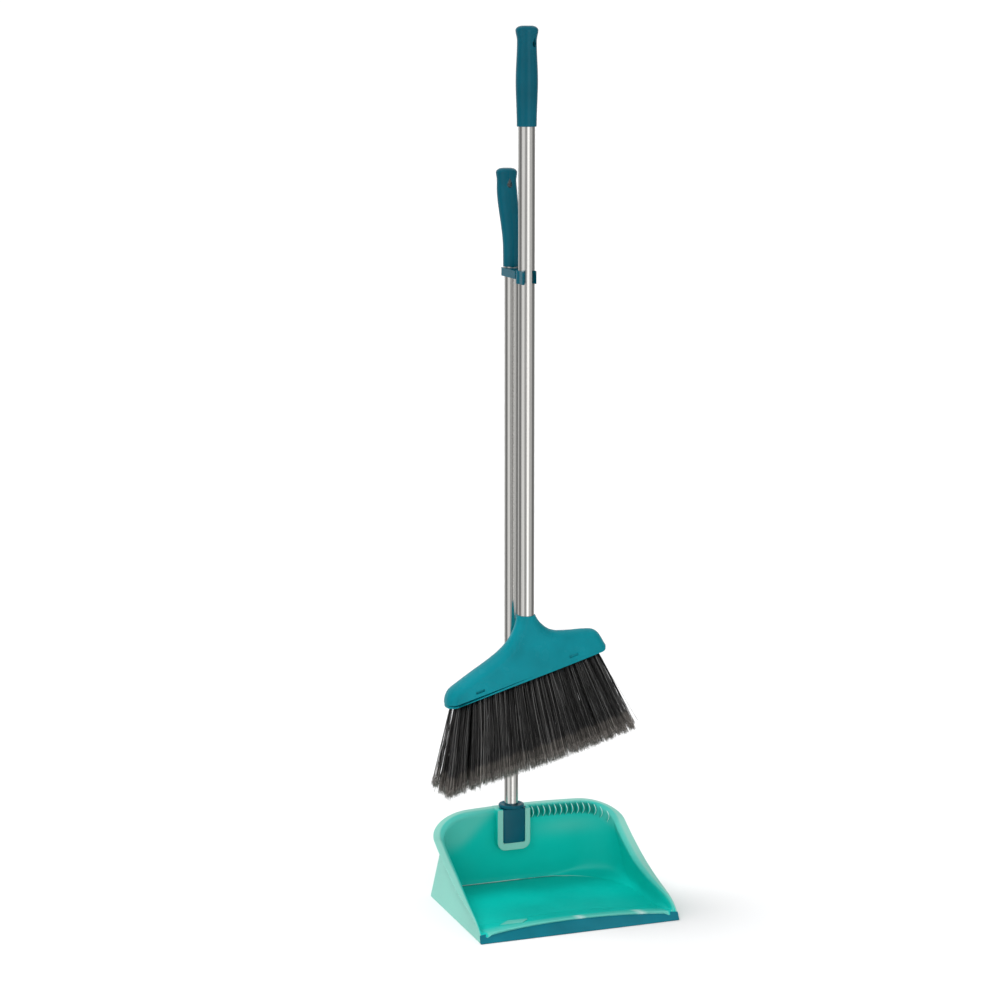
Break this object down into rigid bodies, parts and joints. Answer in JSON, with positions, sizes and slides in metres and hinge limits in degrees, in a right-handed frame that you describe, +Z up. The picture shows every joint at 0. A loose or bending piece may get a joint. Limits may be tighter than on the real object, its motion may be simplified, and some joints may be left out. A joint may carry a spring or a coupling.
{
  "type": "dust pan and brush set",
  "caption": "Upright dust pan with a long tube handle and a clip that holds a slanted indoor broom in front of it.",
  "frame": {"origin": "middle of the pan's underside, on the floor", "axes": "+Z up along the handles, -Y out over the pan's lip, +X to the right when looking from the lip towards the back"},
  "size_m": [0.2867, 0.2473, 1.1718],
  "materials": {
    "pan_plastic": "smooth moulded, slightly translucent",
    "lip_rubber": "satin",
    "dark_plastic": "satin moulded",
    "head_plastic": "smooth moulded",
    "tube_metal": "satin drawn",
    "plug_plastic": "matt moulded",
    "bristle": "fine filaments with paler split tips",
    "anchor_wire": "drawn wire"
  },
  "bodies": {
    "pan": {"pan_shell": "pan_plastic", "lip_strip": "lip_rubber"},
    "handle": {"handle_socket": "dark_plastic", "pan_tube": "tube_metal", "pan_grip": "dark_plastic"},
    "clip": {"broom_clip": "dark_plastic"},
    "broom": {"broom_grip": "dark_plastic", "broom_tube": "tube_metal", "tube_thread_plug": "plug_plastic", "head_cover": "head_plastic", "bristle_block": "head_plastic", "tuft_row_1": "bristle", "tuft_row_2": "bristle", "tuft_row_3": "bristle", "tuft_row_4": "bristle", "tuft_row_5": "bristle", "tuft_anchors": "anchor_wire"}
  },
  "joints": [
    {"name": "socket_lift", "type": "slide", "parent": "pan", "child": "handle", "axis": [0, 0, 1], "range_m": [0, 0.065]},
    {"name": "clip_swivel", "type": "hinge", "parent": "handle", "child": "clip", "pos_m": [-0.02, 0.1, 0.85], "axis": [0, 0, 1], "continuous": true},
    {"name": "broom_release", "type": "slide", "parent": "clip", "child": "broom", "axis": [0, -1, 0], "range_m": [0, 0.2], "deforming": ["broom_clip"]}
  ]
}
